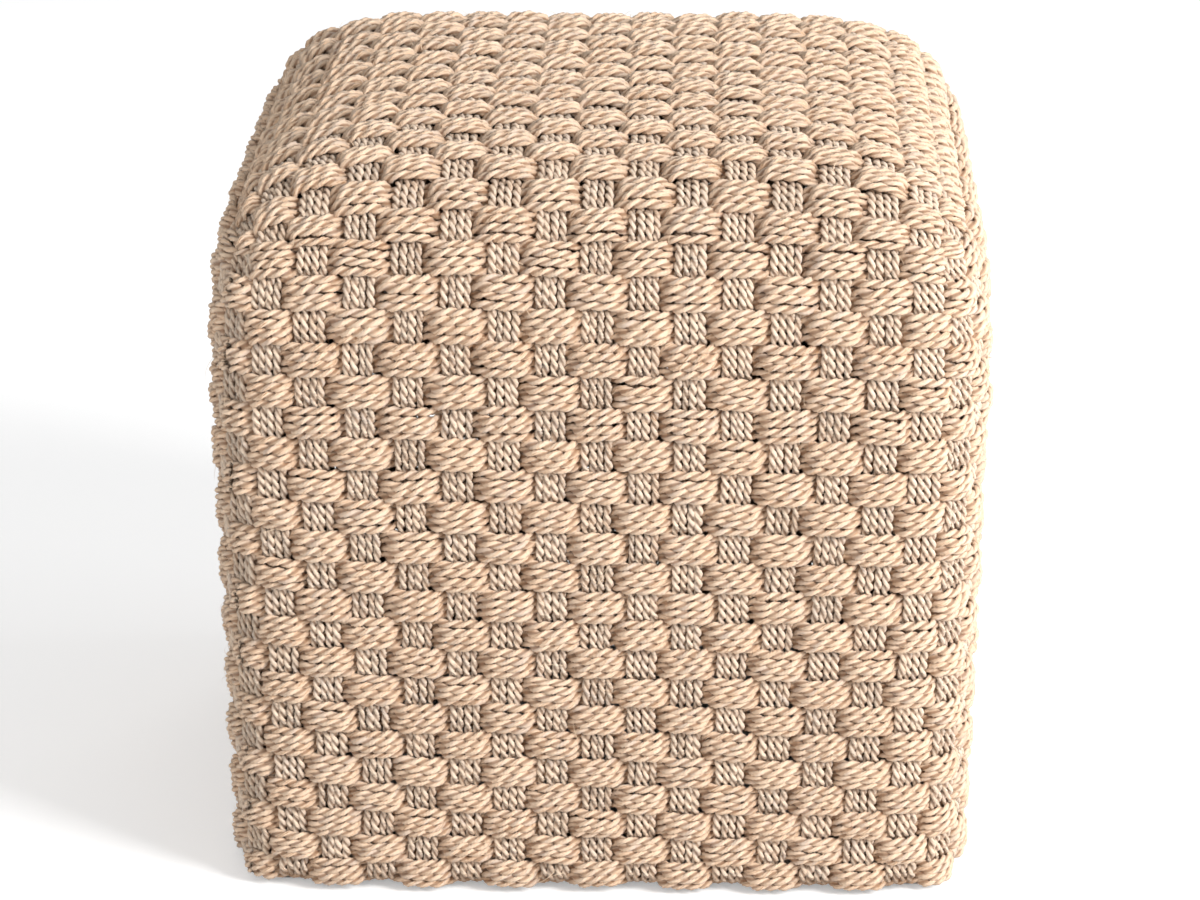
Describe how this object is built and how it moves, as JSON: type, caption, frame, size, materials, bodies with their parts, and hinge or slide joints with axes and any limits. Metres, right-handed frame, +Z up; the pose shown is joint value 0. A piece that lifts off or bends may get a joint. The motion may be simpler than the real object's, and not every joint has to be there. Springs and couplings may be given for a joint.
{
  "type": "outdoor ottoman footstool",
  "caption": "Square woven-rope ottoman footstool with rounded edges and a gently crowned top, on a tube frame with corner glides.",
  "frame": {"origin": "centre of the base, on the floor under the middle of the stool", "axes": "+Z up, the pictured front faces -Y, +X to the right seen from the front"},
  "size_m": [0.457, 0.457, 0.457],
  "materials": {
    "cord": "twisted two-strand cord with the look of dried grass, matte",
    "frame": "powder-coated aluminium tube, satin",
    "slat": "powder-coated aluminium flat bar, satin",
    "glide": "matte"
  },
  "bodies": {
    "root": {"hoops_front": "cord", "hoops_right": "cord", "hoops_back": "cord", "hoops_left": "cord", "uprights_right": "cord", "uprights_left": "cord", "forward_band_01": "cord", "forward_band_02": "cord", "forward_band_03": "cord", "forward_band_04": "cord", "forward_band_05": "cord", "forward_band_06": "cord", "forward_band_07": "cord", "forward_band_08": "cord", "forward_band_09": "cord", "forward_band_10": "cord", "forward_band_11": "cord", "forward_band_12": "cord", "forward_band_13": "cord", "forward_band_14": "cord", "forward_band_15": "cord", "cross_band_01": "cord", "cross_band_02": "cord", "cross_band_03": "cord", "cross_band_04": "cord", "cross_band_05": "cord", "cross_band_06": "cord", "cross_band_07": "cord", "cross_band_08": "cord", "cross_band_09": "cord", "cross_band_10": "cord", "cross_band_11": "cord", "cross_band_12": "cord", "cross_band_13": "cord", "cross_band_14": "cord", "cross_band_15": "cord", "cross_band_16": "cord", "cross_band_17": "cord", "cross_band_18": "cord", "cross_band_19": "cord", "cross_band_20": "cord", "cross_band_21": "cord", "top_rail_front": "frame", "base_rail_front": "frame", "top_rail_right": "frame", "base_rail_right": "frame", "top_rail_back": "frame", "base_rail_back": "frame", "top_rail_left": "frame", "base_rail_left": "frame", "corner_post_front_right": "frame", "corner_post_back_right": "frame", "corner_post_back_left": "frame", "corner_post_front_left": "frame", "glide_front_right": "glide", "glide_back_right": "glide", "glide_back_left": "glide", "glide_front_left": "glide", "seat_slat_1": "slat", "seat_slat_2": "slat"}
  },
  "joints": []
}
